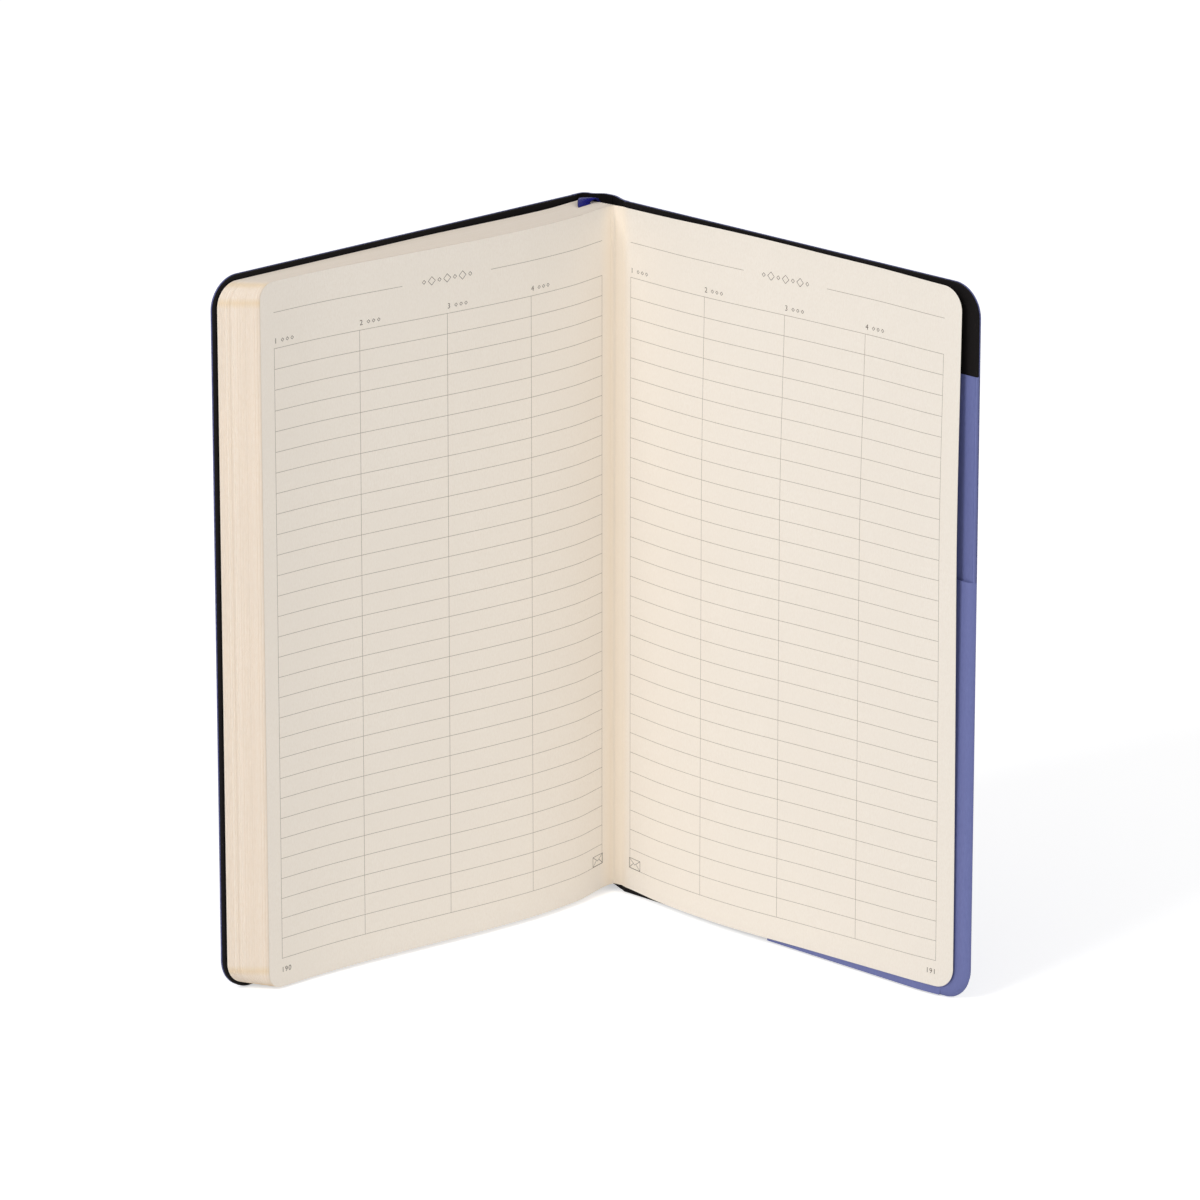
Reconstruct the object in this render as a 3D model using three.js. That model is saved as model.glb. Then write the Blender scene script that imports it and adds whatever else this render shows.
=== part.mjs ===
// Lined soft cover notebook, 12 by 18 cm, standing open on its foot.
// Millimetres, +Z up. The origin is at the middle of the spine skin's foot.
// Seen from above, the front cover runs away to the left and the back cover to the right.
// Each cover has a local frame at its crease: u along the cover, w inward from its outer face.

import * as THREE from 'three'

// Case: a soft skin on thin boards, lined inside with paper and trimmed flush at the edges
const coverWidth = 120
const coverHeight = 180
const coverCornerRadius = 8
const spineWidth = 8.74
const skinThickness = 0.5
const boardThickness = 0.55
const stripThickness = 0.28
const liningThickness = 0.14
const glueGap = 0.05

// How the book stands: the turn of the spine, and each cover's angle to it
const spineTurn = -37.1
const frontCoverAngle = 100.4
const backCoverAngle = 173.6

// Creases: the skin bends here, between the spine and the stiff boards
const frontCreaseRadius = 2.2
const backCreaseRadius = 10
const frontBoardStart = 4.2
const backBoardStart = 5.6
const creaseGap = 0.12

// Text block: sewn signatures of folded sheets
const signatureCount = 12
const leavesPerSignature = 8
const leafThickness = 0.0625
const leafFoot = 0.9
const leafHeadSetback = 1.2
const leafCornerRadius = 6
const firstLeafSetback = 2.8
const foreEdgeStep = 0.632
const foldNose = 0.7
const noseThickness = 0.45

// How the leaves lie: set back from the spine, lifted off the cover and swollen with air
const blockSetback = 2.3
const flyleafGap = 0.1
const airAtSpine = 0.29
const airAtSwell = 0.45
const airAtForeEdge = 0.075
const swellEnd = 0.3
const swellStart = 0.35
const flatStart = 0.86
const liftHeight = 1.45
const liftPeak = 0.14
const liftEnd = 0.5

// The last leaf, alone on the back cover: pushed up by the pocket, curling off it at its head,
// and standing a little higher at its fore-edge than at its fold
const lastLeafStart = 2.5
const lastLeafSetback = 3.4
const lastLeafFoot = 1.6
const lastLeafHeadSetback = 1.6
const lastLeafRise = 1.0
const lastLeafLift = 0.3
const lastLeafClearance = 0.2
const lastLeafRows = 12
const lastLeafBend = 12
const lastLeafCurl = 1.4
const lastLeafCurlWidth = 32

// Expanding pocket inside the back cover
const pocketWidth = 64
const pocketBackHeight = 158
const pocketMouthHeight = 107
const pocketPaper = 0.18
const pocketDepth = 1.9
const pocketEdgeInset = 0.3
const gussetDepth = 6
const gussetGap = 0.3

// Ribbon bookmark, glued to the back of the block, led over its head and in between two signatures
const ribbonWidth = 6.4
const ribbonThickness = 0.14
const ribbonSignature = 6
const ribbonCentre = 4.9
const ribbonGluedLength = 34
const ribbonEntry = 5.3
const ribbonSlant = 12
const ribbonTailFoot = 24
const ribbonArch = 0.45
const headRadius = 0.75
const entryRadius = 0.3
const mullThickness = 0.2
const mullGap = 0.12
const mullInset = 12

const meshDetail = { cornerSteps: 7, leafSteps: 22, creaseSteps: 9, turnSteps: 8, noseSteps: [0, 0.15, 0.5] }

const coverThickness = skinThickness + boardThickness + liningThickness + 2 * glueGap
const leafHead = coverHeight - leafHeadSetback
const firstLeafWidth = coverWidth - firstLeafSetback
const lastLeafEnd = coverWidth - lastLeafSetback
const pocketSide = coverWidth - pocketWidth
const radians = THREE.MathUtils.degToRad

const finishes = {
  skin: { color: 0x474c78, roughness: 0.62, metalness: 0 },
  board: { color: 0x262225, roughness: 0.9, metalness: 0 },
  lining: { color: 0x17151a, roughness: 0.8, metalness: 0 },
  paper: { color: 0xe9ddcc, roughness: 0.85, metalness: 0 },
  pocket: { color: 0x666d9e, roughness: 0.75, metalness: 0 },
  mull: { color: 0xd9d4c8, roughness: 0.95, metalness: 0 },
  ribbon: { color: 0x10148a, roughness: 0.4, metalness: 0 },
}

const notebook = new THREE.Group()

// Three frames in plan. Each has its origin at a crease, x along the piece and z up.
const spineFrame = new THREE.Group()
const frontFrame = new THREE.Group()
const backFrame = new THREE.Group()
const spineAngle = radians(spineTurn)
spineFrame.position.set(-spineWidth / 2, skinThickness / 2, 0)
spineFrame.position.applyAxisAngle(new THREE.Vector3(0, 0, 1), spineAngle)
spineFrame.rotation.z = spineAngle
frontFrame.rotation.z = -radians(frontCoverAngle)
backFrame.position.x = spineWidth
backFrame.rotation.z = -radians(180 - backCoverAngle)
notebook.add(spineFrame)
spineFrame.add(frontFrame, backFrame)

// Inward is +y in the front cover's frame and -y in the other two
const front = { frame: frontFrame, inward: 1 }
const back = { frame: backFrame, inward: -1 }
const spine = { frame: spineFrame, inward: -1 }

function addPiece(name, side, geometry, finish) {
  const mesh = new THREE.Mesh(geometry, new THREE.MeshStandardMaterial(finishes[finish]))
  mesh.name = name
  side.frame.add(mesh)
}

const mix = (a, b, t) => a + (b - a) * t
const smooth = (value, from, to) => THREE.MathUtils.smoothstep(value, from, to)

// A closed sheet between two faces. Each face is a function of a station and a row.
function sheetBetween(stations, rows, lowerFace, upperFace) {
  const positions = []
  const index = []
  const corner = (face, i, j) => (face * stations + i) * rows + j
  for (const face of [lowerFace, upperFace]) {
    for (let i = 0; i < stations; i++) {
      for (let j = 0; j < rows; j++) positions.push(...face(i, j))
    }
  }
  const quad = (a, b, c, d) => index.push(a, b, c, a, c, d)
  const [end, top] = [stations - 1, rows - 1]
  for (let i = 0; i < end; i++) {
    for (let j = 0; j < top; j++) {
      quad(corner(0, i, j), corner(0, i, j + 1), corner(0, i + 1, j + 1), corner(0, i + 1, j))
      quad(corner(1, i, j), corner(1, i + 1, j), corner(1, i + 1, j + 1), corner(1, i, j + 1))
    }
    quad(corner(0, i, 0), corner(0, i + 1, 0), corner(1, i + 1, 0), corner(1, i, 0))
    quad(corner(0, i + 1, top), corner(0, i, top), corner(1, i, top), corner(1, i + 1, top))
  }
  for (let j = 0; j < top; j++) {
    quad(corner(0, 0, j + 1), corner(0, 0, j), corner(1, 0, j), corner(1, 0, j + 1))
    quad(corner(0, end, j), corner(0, end, j + 1), corner(1, end, j + 1), corner(1, end, j))
  }
  const geometry = new THREE.BufferGeometry()
  geometry.setAttribute('position', new THREE.Float32BufferAttribute(positions, 3))
  geometry.setIndex(index)
  return facingOut(geometry)
}

// Turns the triangles over if the body encloses a negative volume
function facingOut(geometry) {
  const position = geometry.attributes.position
  const index = geometry.index.array
  const [a, b, c] = [new THREE.Vector3(), new THREE.Vector3(), new THREE.Vector3()]
  let volume = 0
  for (let i = 0; i < index.length; i += 3) {
    a.fromBufferAttribute(position, index[i])
    b.fromBufferAttribute(position, index[i + 1])
    c.fromBufferAttribute(position, index[i + 2])
    volume += a.dot(b.cross(c))
  }
  if (volume < 0) {
    for (let i = 0; i < index.length; i += 3) [index[i], index[i + 1]] = [index[i + 1], index[i]]
  }
  return geometry
}

function rectangle(start, end, foot, head) {
  return new THREE.Shape([
    new THREE.Vector2(start, foot), new THREE.Vector2(end, foot),
    new THREE.Vector2(end, head), new THREE.Vector2(start, head),
  ])
}

// A flat outline in u and z with its two fore-edge corners rounded
function coverOutline(start, width, foot, head, radius) {
  const outline = new THREE.Shape()
  outline.moveTo(start, foot)
  outline.absarc(width - radius, foot + radius, radius, -Math.PI / 2, 0)
  outline.absarc(width - radius, head - radius, radius, 0, Math.PI / 2)
  outline.lineTo(start, head)
  return outline
}

// The outline thickened from one depth to another below the cover's outer face
function panel(outline, side, fromDepth, toDepth) {
  const geometry = new THREE.ExtrudeGeometry(outline, {
    depth: toDepth - fromDepth,
    bevelEnabled: false,
    curveSegments: meshDetail.cornerSteps,
  })
  geometry.rotateX(Math.PI / 2)
  geometry.translate(0, side.inward > 0 ? toDepth : -fromDepth, 0)
  return geometry
}

// Cover: skin, board and lining, one on the other
function addCover(name, side, boardStart) {
  const boardDepth = skinThickness + glueGap
  const liningDepth = boardDepth + boardThickness + glueGap
  const outline = coverOutline(boardStart, coverWidth, 0, coverHeight, coverCornerRadius)
  addPiece(`${name}_skin`, side, panel(outline, side, 0, skinThickness), 'skin')
  addPiece(`${name}_board`, side, panel(outline, side, boardDepth, boardDepth + boardThickness), 'board')
  addPiece(`${name}_pastedown`, side, panel(outline, side, liningDepth, coverThickness), 'lining')
}

// Points of a bent strip at one depth: cover straight, arc round the crease, spine straight.
// Given in the cover's frame; the spine leaves the crease at the cover's angle.
function creasePath(coverAngle, radius, boardStart, spineReach, depth) {
  const turn = radians(180 - coverAngle)
  const tangent = radius * Math.tan(turn / 2)
  const points = [[boardStart, depth]]
  for (let i = 0; i <= meshDetail.creaseSteps; i++) {
    const angle = (turn * i) / meshDetail.creaseSteps
    points.push([tangent - (radius - depth) * Math.sin(angle), radius - (radius - depth) * Math.cos(angle)])
  }
  const along = new THREE.Vector2(-Math.cos(turn), Math.sin(turn))
  const inward = new THREE.Vector2(Math.sin(turn), Math.cos(turn))
  points.push([along.x * spineReach + inward.x * depth, along.y * spineReach + inward.y * depth])
  return points
}

function creaseReach(coverAngle, radius) {
  return radius * Math.tan(radians(180 - coverAngle) / 2) + creaseGap
}

// The soft hinge between a cover and the spine: the skin outside and the lining inside
function addCrease(name, side, coverAngle, radius, boardStart) {
  const start = boardStart - creaseGap
  const reach = creaseReach(coverAngle, radius)
  const strip = (fromDepth, toDepth) => {
    const outer = creasePath(coverAngle, radius, start, reach, fromDepth)
    const inner = creasePath(coverAngle, radius, start, reach, toDepth)
    return sheetBetween(outer.length, 2,
      (i, j) => [outer[i][0], side.inward * outer[i][1], j * coverHeight],
      (i, j) => [inner[i][0], side.inward * inner[i][1], j * coverHeight])
  }
  addPiece(`${name}_crease_skin`, side, strip(0, skinThickness), 'skin')
  const liningDepth = skinThickness + glueGap
  addPiece(`${name}_crease_lining`, side, strip(liningDepth, liningDepth + liningThickness), 'lining')
}

function addSpine() {
  const start = creaseReach(frontCoverAngle, frontCreaseRadius) + creaseGap
  const end = spineWidth - creaseReach(backCoverAngle, backCreaseRadius) - creaseGap
  const outline = rectangle(start, end, 0, coverHeight)
  const stripDepth = skinThickness + glueGap
  addPiece('spine_skin', spine, panel(outline, spine, 0, skinThickness), 'skin')
  addPiece('spine_strip', spine, panel(outline, spine, stripDepth, stripDepth + stripThickness), 'lining')
}

// From a place along the spine and a depth below its outer face to the front cover's u and w
const frontTurn = radians(180 - frontCoverAngle)
function fromSpine(along, depth) {
  return [
    Math.sin(frontTurn) * depth - Math.cos(frontTurn) * along,
    Math.sin(frontTurn) * along + Math.cos(frontTurn) * depth,
  ]
}

// Where the leaves lie, as a depth w at a distance u in the front cover's frame.
// share is 0 at the outermost leaf, on the flyleaf, and 1 at the open page.
const signatureStack = leavesPerSignature * leafThickness
const flyleafDepth = coverThickness + flyleafGap
const blockDepth = flyleafDepth + liningThickness + flyleafGap

function airBetween(u) {
  const along = Math.max(u, 0) / firstLeafWidth
  const rising = mix(airAtSpine, airAtSwell, smooth(along, 0, swellEnd))
  return mix(rising, airAtForeEdge, smooth(along, swellStart, flatStart))
}

function blockThickness(u) {
  return signatureCount * (signatureStack + airBetween(u))
}

function lift(u) {
  const along = u / firstLeafWidth
  return liftHeight * smooth(along, 0, liftPeak) * (1 - smooth(along, liftPeak, liftEnd))
}

function leafDepth(share, u) {
  return blockDepth + lift(u) + share * blockThickness(u)
}

// The folds lie on a line along the spine, and each fore-edge is drawn back from the last
function foldStart(share) {
  const depth = blockDepth + share * blockThickness(0)
  return (blockSetback - depth * Math.cos(frontTurn)) / Math.sin(frontTurn)
}

function foreEdge(share) {
  return foldStart(0) + firstLeafWidth - share * signatureCount * foreEdgeStep
}

// How far a leaf's foot and head are drawn in at its rounded corners
function cornerInset(distanceToEdge, radius) {
  const across = Math.max(radius - distanceToEdge, 0)
  return radius - Math.sqrt(Math.max(radius * radius - across * across, 0))
}

// Stations along a leaf: even, then closer round the corner
function leafStations(start, end) {
  const straightEnd = end - leafCornerRadius
  const stations = []
  for (let i = 0; i < meshDetail.leafSteps; i++) {
    stations.push(mix(start, straightEnd, i / meshDetail.leafSteps))
  }
  for (let i = 0; i <= meshDetail.cornerSteps; i++) {
    const turn = ((i / meshDetail.cornerSteps) * Math.PI) / 2
    stations.push(straightEnd + leafCornerRadius * Math.sin(turn))
  }
  return stations
}

// Leaves lying together round a middle depth, thinned to a rounded nose at a fold
function leafStack(share, middleDepth, thickness, nose) {
  const start = foldStart(share)
  const end = foreEdge(share)
  const noseStations = meshDetail.noseSteps.map((t) => start + t * nose)
  const even = leafStations(start, end)
  const stations = nose > 0 ? [...noseStations, ...even.filter((u) => u >= start + nose)] : even
  const face = (way) => (i, j) => {
    const u = stations[i]
    const inset = cornerInset(end - u, leafCornerRadius)
    const flatness = nose > 0 ? Math.min((u - start) / nose, 1) : 1
    const half = (thickness / 2) * Math.sqrt(1 - (1 - noseThickness ** 2) * (1 - flatness) ** 2)
    return [u, middleDepth(u) + way * half, j === 0 ? leafFoot + inset : leafHead - inset]
  }
  return sheetBetween(stations.length, 2, face(-1), face(1))
}

// The sewn signatures; the last one gives up its two outer leaves, which lie open to left and right
function addTextBlock() {
  for (let i = 0; i < signatureCount; i++) {
    const leaves = i === signatureCount - 1 ? leavesPerSignature - 2 : leavesPerSignature
    const thickness = leaves * leafThickness
    const middle = (u) => leafDepth(i / signatureCount, u) + (airBetween(u) + thickness) / 2
    const name = `signature_${String(i + 1).padStart(2, '0')}`
    addPiece(name, front, leafStack((i + 0.5) / signatureCount, middle, thickness, foldNose), 'paper')
  }
  const openPage = (u) => leafDepth(1, u) - leafThickness / 2
  addPiece('left_leaf', front, leafStack(1, openPage, leafThickness, 0), 'paper')
  const flyleaf = (u) => flyleafDepth + liningThickness / 2 + lift(u)
  addPiece('front_flyleaf', front, leafStack(0, flyleaf, liningThickness, 0), 'lining')
}

// The last leaf runs over the pocket's mouth, bent down to the lining above it and towards the fold
function addLastLeaf() {
  const low = coverThickness + lastLeafLift
  const high = coverThickness + glueGap + pocketDepth + lastLeafClearance
  const stations = leafStations(lastLeafStart, lastLeafEnd)
  const depth = (u, z) => {
    const overPocket = smooth(u, lastLeafStart, pocketSide - pocketPaper)
    const belowMouth = 1 - smooth(z, pocketMouthHeight + 2 * pocketPaper, leafHead + lastLeafBend)
    const towardsEdge = smooth(u, lastLeafEnd - lastLeafCurlWidth, lastLeafEnd)
    const curl = lastLeafCurl * towardsEdge * smooth(z, 0, leafHead)
    return mix(low, high, overPocket * belowMouth) + curl
  }
  const face = (toInside) => (i, j) => {
    const u = stations[i]
    const inset = cornerInset(lastLeafEnd - u, leafCornerRadius)
    const rise = (lastLeafRise * (u - lastLeafStart)) / (lastLeafEnd - lastLeafStart)
    const head = coverHeight - lastLeafHeadSetback
    const z = rise + mix(lastLeafFoot + inset, head - inset, j / (lastLeafRows - 1))
    return [u, back.inward * (depth(u, z) + toInside), z]
  }
  const leaf = sheetBetween(stations.length, lastLeafRows, face(0), face(leafThickness))
  addPiece('right_leaf', back, leaf, 'paper')
}

// Flat paper panel of the pocket, with the cover's rounded corner at its foot
function pocketPanel(height, fromDepth) {
  const end = coverWidth - pocketEdgeInset
  const radius = coverCornerRadius - pocketEdgeInset
  const outline = new THREE.Shape()
  outline.moveTo(pocketSide, pocketEdgeInset)
  outline.absarc(end - radius, pocketEdgeInset + radius, radius, -Math.PI / 2, 0)
  outline.lineTo(end, height)
  outline.lineTo(pocketSide, height)
  return panel(outline, back, fromDepth, fromDepth + pocketPaper)
}

// A gusset folds inward between the panels. place puts a distance in from the pocket's edge,
// a depth and an end of the fold into the back cover's frame.
function gusset(place) {
  const low = coverThickness + glueGap + pocketPaper + glueGap
  const high = coverThickness + glueGap + pocketDepth - pocketPaper - glueGap
  const middle = (low + high) / 2
  const foldBack = (pocketPaper * gussetDepth) / (middle - low)
  const outer = [[0, low], [gussetDepth, middle], [0, high]]
  const inner = [[0, low + pocketPaper], [gussetDepth - foldBack, middle], [0, high - pocketPaper]]
  return sheetBetween(3, 2, (i, j) => place(...outer[i], j), (i, j) => place(...inner[i], j))
}

function addPocket() {
  const low = coverThickness + glueGap
  addPiece('pocket_back', back, pocketPanel(pocketBackHeight, low), 'pocket')
  addPiece('pocket_front', back, pocketPanel(pocketMouthHeight, low + pocketDepth - pocketPaper), 'pocket')
  const end = coverWidth - pocketEdgeInset
  const innerEnds = [pocketEdgeInset, pocketMouthHeight]
  const outerEnds = [coverCornerRadius + gussetDepth, pocketMouthHeight]
  const footEnds = [pocketSide + gussetDepth + gussetGap, end - gussetDepth - coverCornerRadius]
  addPiece('pocket_gusset_inner', back,
    gusset((inset, depth, j) => [pocketSide + inset, back.inward * depth, innerEnds[j]]), 'pocket')
  addPiece('pocket_gusset_outer', back,
    gusset((inset, depth, j) => [end - inset, back.inward * depth, outerEnds[j]]), 'pocket')
  addPiece('pocket_gusset_foot', back,
    gusset((inset, depth, j) => [footEnds[j], back.inward * depth, pocketEdgeInset + inset]), 'pocket')
}

// Mull: the cloth glued over the folds
function addMull() {
  const start = (blockDepth - blockSetback * Math.cos(frontTurn)) / Math.sin(frontTurn)
  const end = start + blockThickness(0) / Math.sin(frontTurn)
  const cloth = rectangle(start, end, leafFoot + mullInset, leafHead - mullInset)
  const depth = blockSetback - mullGap - mullThickness
  addPiece('spine_mull', spine, panel(cloth, spine, depth, depth + mullThickness), 'mull')
}

// Ribbon: glued down the mull, over the head, a flat quarter turn, then down between two signatures.
// Each station has a left and a right edge point and the way its upper face looks.
function addRibbon() {
  const half = ribbonWidth / 2
  const across = fromSpine(1, 0)
  const inward = fromSpine(0, 1)
  const glued = blockSetback - mullGap - mullThickness - glueGap - ribbonThickness
  const top = leafHead + entryRadius
  const share = ribbonSignature / signatureCount
  const stations = []
  const level = (centre, turn, z, normal) => {
    const [cu, cw] = [Math.cos(turn), -Math.sin(turn)]
    const edge = (way) => [
      centre[0] + way * half * (cu * across[0] + cw * inward[0]),
      centre[1] + way * half * (cu * across[1] + cw * inward[1]), z]
    stations.push({ left: edge(-1), right: edge(1), normal })
  }
  const bend = (i) => ((i / meshDetail.turnSteps) * Math.PI) / 2

  const outward = [-inward[0], -inward[1], 0]
  level(fromSpine(ribbonCentre, glued), 0, leafHead - ribbonGluedLength, outward)
  for (let i = 0; i < meshDetail.turnSteps; i++) {
    const [sin, cos] = [Math.sin(bend(i)), Math.cos(bend(i))]
    const centre = fromSpine(ribbonCentre, glued + headRadius * (1 - cos))
    level(centre, 0, top - headRadius * (1 - sin), [outward[0] * cos, outward[1] * cos, sin])
  }
  const overHead = fromSpine(ribbonCentre, glued + headRadius)
  const entry = [ribbonEntry, leafDepth(share, ribbonEntry) - entryRadius]
  for (let i = 0; i < meshDetail.turnSteps; i++) {
    const t = i / meshDetail.turnSteps
    const centre = [mix(overHead[0], entry[0], t), mix(overHead[1], entry[1], t)]
    level(centre, bend(i), top + ribbonArch * Math.sin(t * Math.PI), [0, 0, 1])
  }
  const hang = (u, side, z, normal) => {
    const points = [u + half, u - half].map((edge) => [edge, leafDepth(share, edge) + side, z])
    stations.push({ left: points[0], right: points[1], normal })
  }
  for (let i = 0; i <= meshDetail.turnSteps; i++) {
    const [sin, cos] = [Math.sin(bend(i)), Math.cos(bend(i))]
    hang(ribbonEntry, entryRadius * (sin - 1), leafHead + entryRadius * cos, [0, sin, cos])
  }
  const tailSteps = meshDetail.turnSteps
  for (let i = 1; i <= tailSteps; i++) {
    const t = i / tailSteps
    hang(ribbonEntry + ribbonSlant * t, 0, mix(leafHead, ribbonTailFoot, t), [0, 1, 0])
  }
  const face = (way) => (i, j) => {
    const { left, right, normal } = stations[i]
    return (j === 0 ? left : right).map((value, axis) => value + (way * ribbonThickness * normal[axis]) / 2)
  }
  addPiece('ribbon_bookmark', front, sheetBetween(stations.length, 2, face(-1), face(1)), 'ribbon')
}

addCover('front_cover', front, frontBoardStart)
addCover('back_cover', back, backBoardStart)
addCrease('front', front, frontCoverAngle, frontCreaseRadius, frontBoardStart)
addCrease('back', back, backCoverAngle, backCreaseRadius, backBoardStart)
addSpine()
addTextBlock()
addLastLeaf()
addPocket()
addMull()
addRibbon()

export default notebook
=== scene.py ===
"""A lined soft cover notebook, standing open on its foot: its looks, built round the CAD frame."""
import bisect
import math
import random

import bmesh
import bpy
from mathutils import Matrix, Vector

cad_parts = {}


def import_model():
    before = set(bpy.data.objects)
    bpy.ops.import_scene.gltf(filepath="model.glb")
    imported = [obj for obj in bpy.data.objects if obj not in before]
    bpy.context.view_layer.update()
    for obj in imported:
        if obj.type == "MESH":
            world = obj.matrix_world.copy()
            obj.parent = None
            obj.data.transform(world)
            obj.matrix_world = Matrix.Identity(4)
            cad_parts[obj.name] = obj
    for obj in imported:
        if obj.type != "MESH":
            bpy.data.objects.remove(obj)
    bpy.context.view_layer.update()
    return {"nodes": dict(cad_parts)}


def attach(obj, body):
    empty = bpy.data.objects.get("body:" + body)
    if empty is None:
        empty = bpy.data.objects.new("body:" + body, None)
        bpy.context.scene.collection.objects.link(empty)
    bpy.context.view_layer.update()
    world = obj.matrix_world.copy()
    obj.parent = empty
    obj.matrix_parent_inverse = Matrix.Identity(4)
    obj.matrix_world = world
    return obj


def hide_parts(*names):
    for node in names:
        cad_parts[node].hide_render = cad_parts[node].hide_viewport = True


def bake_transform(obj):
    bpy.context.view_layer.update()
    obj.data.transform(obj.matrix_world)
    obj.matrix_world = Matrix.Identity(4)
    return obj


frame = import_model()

MM = 0.001

# Case, in millimetres, as the solids have it: skin, card and lining, trimmed flush
COVER_WIDTH = 120
COVER_HEIGHT = 180
COVER_CORNER = 8
SPINE_WIDTH = 8.74
SKIN = 0.5
CARD_LOW, CARD_HIGH = 0.54, 1.12
LINING = 0.14
LINING_LOW, LINING_HIGH = 1.15, 1.29
LINING_TRIM = 0.03
CREASE_LINING = 0.62
STRIP_DEPTH, STRIP = 0.69, 0.28
CREASE_LAP = 0.24
LINING_CLIMB = 1.6
FRONT_CREASE_RADIUS = 2.2
BACK_CREASE_RADIUS = 10
FRONT_START = 4.2
BACK_START = 5.6

# How the book stands, seen from above
SPINE_TURN = math.radians(-37.1)
FRONT_ANGLE = math.radians(100.4)
BACK_ANGLE = math.radians(173.6)

# Text block
SIGNATURES = 12
SHEETS_PER_SIGNATURE = 4
LEAVES_PER_SIGNATURE = 2 * SHEETS_PER_SIGNATURE
LEAF = 0.0625
LEAF_FOOT = 0.9
LEAF_HEAD = 178.8
FIRST_LEAF_CORNER = 6
OPEN_LEAF_CORNER = 4
FIRST_LEAF_WIDTH = 117.2
FORE_EDGE_STEP = 0.632
BLOCK_SETBACK = 2.3
BLOCK_DEPTH = 1.63
FLYLEAF_DEPTH = 1.46
FULLEST_LEAF = 0.12

# Air in each signature, and the leaves' lift off the cover. The places of the swell and of the lift
# are shares of the width
AIR_AT_SPINE = 0.29
AIR_AT_SWELL = 0.45
AIR_AT_FORE_EDGE = 0.075
SWELL_FULL, SWELL_FALLS, SWELL_ENDS = 0.3, 0.35, 0.86
LIFT = 1.45
LIFT_TOP, LIFT_ENDS = 0.14, 0.5

# Where the leaf edges are yellowed round their corners, as distances from the leaves' middle height:
# the tone starts, is full, falls and ends
CORNER_TONE = (82.9, 84.3, 84.5, 85.7)
END_TONE = (87.6, 88.3, 88.5, 88.9)

# The leaves' feet: raised at the cover, and on the open leaf raised at its fold and sagging further out
FIRST_FOOT_RISE = 0.5
OPEN_FOOT_RISE, OPEN_FOOT_RISE_ENDS = 0.8, 15
OPEN_FOOT_SAG, OPEN_FOOT_SAGS, OPEN_FOOT_LOWEST = 0.5, 60, 112

# Last leaf and pocket, on the back cover
LAST_LEAF_FOLD = 2.5
LAST_LEAF_START = 5
LAST_LEAF_FREE = 8
LAST_LEAF_END = 116.6
LAST_LEAF_FOOT = 1.6
LAST_LEAF_HEAD = 178.4
LAST_LEAF_LOW = 1.59
LAST_LEAF_HIGH = 3.44
LAST_LEAF_BOW = 0.95
BOW_TOP, BOW_FALLS, BOW_ENDS = 30, 34, 70
LAST_LEAF_CURL, CURL_LENGTH = 1.4, 32
LAST_LEAF_SETTLED, SETTLES_FROM = 0.6, 102
LAST_LEAF_PRESSED, PRESSED_LENGTH = 0.22, 1.6
LAST_LEAF_DIP, DIP_LOWEST = 0.75, 20
LAST_LEAF_RISE, RISE_STARTS = 1.9, 30
HEAD_RISE, HEAD_CLIMB = 0.3, 0.82
HEAD_TOP, HEAD_FALLS, HEAD_SETTLED = 42, 46, 75
LAST_LEAF_CORNER = 5.6
POCKET_SIDE = 56
POCKET_BACK_HEIGHT = 158
POCKET_MOUTH = 107
POCKET_PAPER = 0.18
POCKET_LOW = 1.34
POCKET_DEPTH = 1.9
POCKET_INSET = 0.3
POCKET_WRAP = 3

# Ribbon
RIBBON_WIDTH = 4.6
RIBBON = 0.14
RIBBON_CENTRE = 4.3
RIBBON_ENTRY = 6.2
RIBBON_BACK = 1.79
RIBBON_GLUED = 34
RIBBON_SLANT = 12
RIBBON_TAIL = 24
RIBBON_ARCH = 0.9

# The spine and the back crease bow outward behind the text block, between places counted from the
# front crease
SPINE_BOW = 1.85
SPINE_BOW_START, SPINE_BOW_TOP, SPINE_BOW_FALLS = 2.07, 5.8, 7.2
SPINE_BOW_END = SPINE_WIDTH + BACK_START - 0.6

# Printed table on both pages
ROWS = 30
ROW_PITCH = 5.135
TABLE_FOOT = 8.15
COLUMNS = 4
COLUMN_WIDTH = 25.85
TITLE_RULE = 8.9
TITLE_GAP = 26.5
RULE_WIDTH = 0.13
TABLE_WIDTH = COLUMNS * COLUMN_WIDTH
TABLE_HEAD = TABLE_FOOT + ROWS * ROW_PITCH
FIGURE_SIZE = 1.9
FIGURE_SPACING = 1.15
HEADING_LIFT = 1.2
HEADING_MARK, HEADING_MARK_START, HEADING_MARK_PITCH, HEADING_MARK_LIFT = 0.42, 2.6, 1.5, 1.8
ORNAMENT_PITCH, ORNAMENT, ORNAMENT_SMALL = 2.3, 1.05, 0.5
PAGE_NUMBER_FOOT, LEFT_PAGE_NUMBER, RIGHT_PAGE_NUMBER = 4.6, -0.3, 3.0
ENVELOPE_WIDTH, ENVELOPE_HEIGHT = 3.9, 2.6
ENVELOPE_PLACE = (TABLE_WIDTH - 3.7, TABLE_FOOT + 0.1)

# Camera, fitted to the outline in the photograph: an image 1200 pixels wide
IMAGE_WIDTH = 1200
FOCAL_PIXELS = 7740
CAMERA_PLACE = (0.59, -1845.5, 668.5)
CAMERA_PITCH = math.radians(17.826)

# Studio: the rays that see the white ground, its glow to them, the sky's strength, and the lamps' aim
SEEN_BY = ("Is Camera Ray", "Is Glossy Ray", "Is Transmission Ray")
FLOOR_GLOW = (0.54, 0.54, 0.54)
SKY = 0.42
LAMP_TARGET = (0, 0, 0.09)


# Plan geometry

def turned(vector, angle):
    c, s = math.cos(angle), math.sin(angle)
    return Vector((vector.x * c - vector.y * s, vector.x * s + vector.y * c))


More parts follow.
